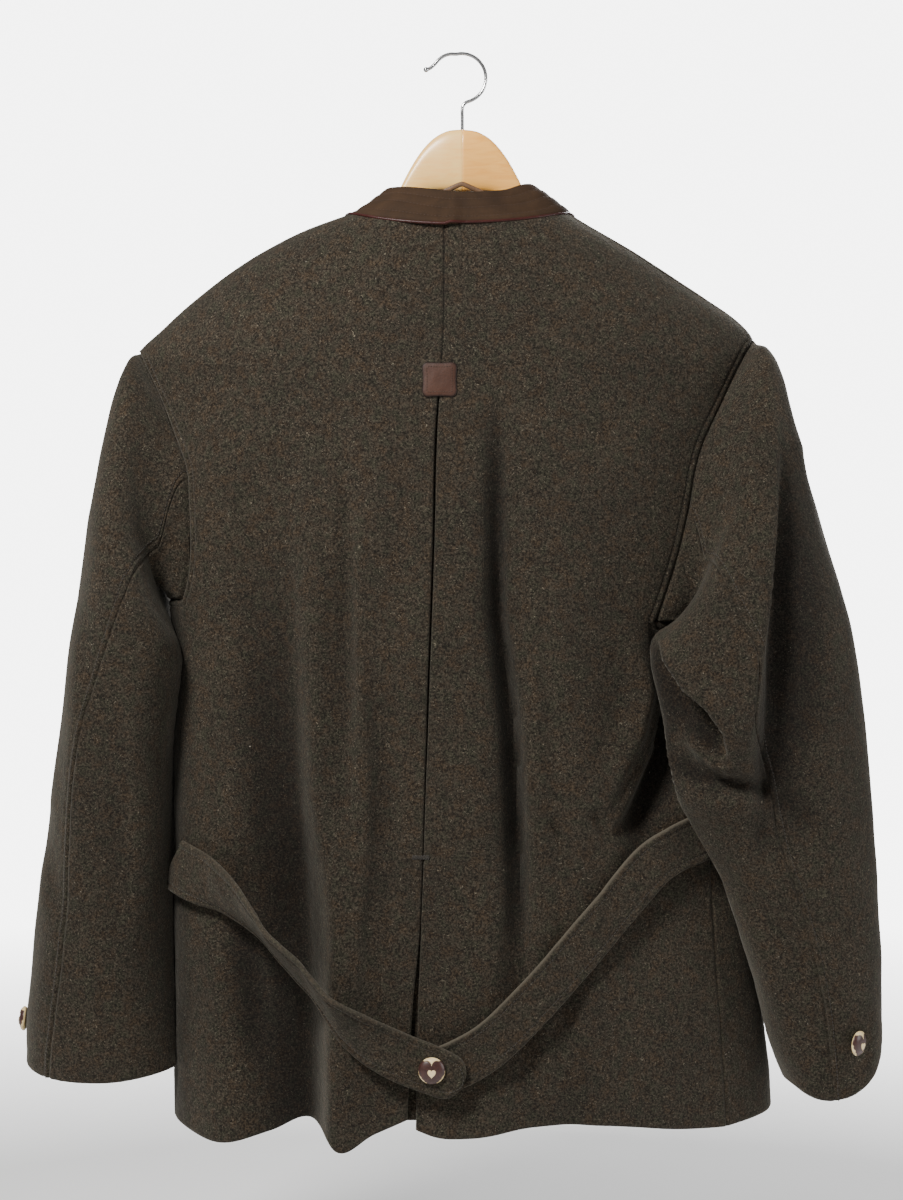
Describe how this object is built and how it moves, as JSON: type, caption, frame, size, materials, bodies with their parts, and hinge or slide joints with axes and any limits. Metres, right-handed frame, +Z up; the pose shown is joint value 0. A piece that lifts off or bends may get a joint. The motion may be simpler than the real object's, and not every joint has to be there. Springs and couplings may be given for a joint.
{
  "type": "tyrolean loden jacket on a wooden hanger",
  "caption": "Tyrolean loden jacket with a suede stand collar, back pleat and buttoned half-belts, hanging open below on a wooden hanger with a wire hook.",
  "frame": {"origin": "inside the top of the hanger's hook, where it rests on a rail", "axes": "+Z up, +Y out of the jacket's back, +X to the wearer's left"},
  "size_m": [0.743, 0.2052, 0.9266],
  "materials": {
    "loden": "milled wool melange, matt with a short nap, dark brown-olive with light flecks",
    "suede": "brown napped suede, stitched",
    "leather": "reddish brown, matt",
    "horn": "cream with a dark red-brown middle, satin",
    "wood": "pale maple, clear satin varnish",
    "chrome": "bright plated wire"
  },
  "bodies": {
    "root": {"back_left": "loden", "back_right": "loden", "front_left": "loden", "front_right": "loden", "pleat_underlay": "loden", "sleeve_left_top": "loden", "sleeve_left_under": "loden", "sleeve_right_top": "loden", "sleeve_right_under": "loden", "half_belt_left": "loden", "half_belt_right": "loden", "collar": "suede", "back_patch": "leather", "hanging_loop": "leather", "belt_button": "horn", "cuff_button_left": "horn", "cuff_button_right": "horn", "front_button_1": "horn", "front_button_2": "horn", "front_button_3": "horn", "front_button_4": "horn", "front_button_5": "horn", "hanger_left": "wood", "hanger_right": "wood", "hook": "chrome"}
  },
  "joints": []
}
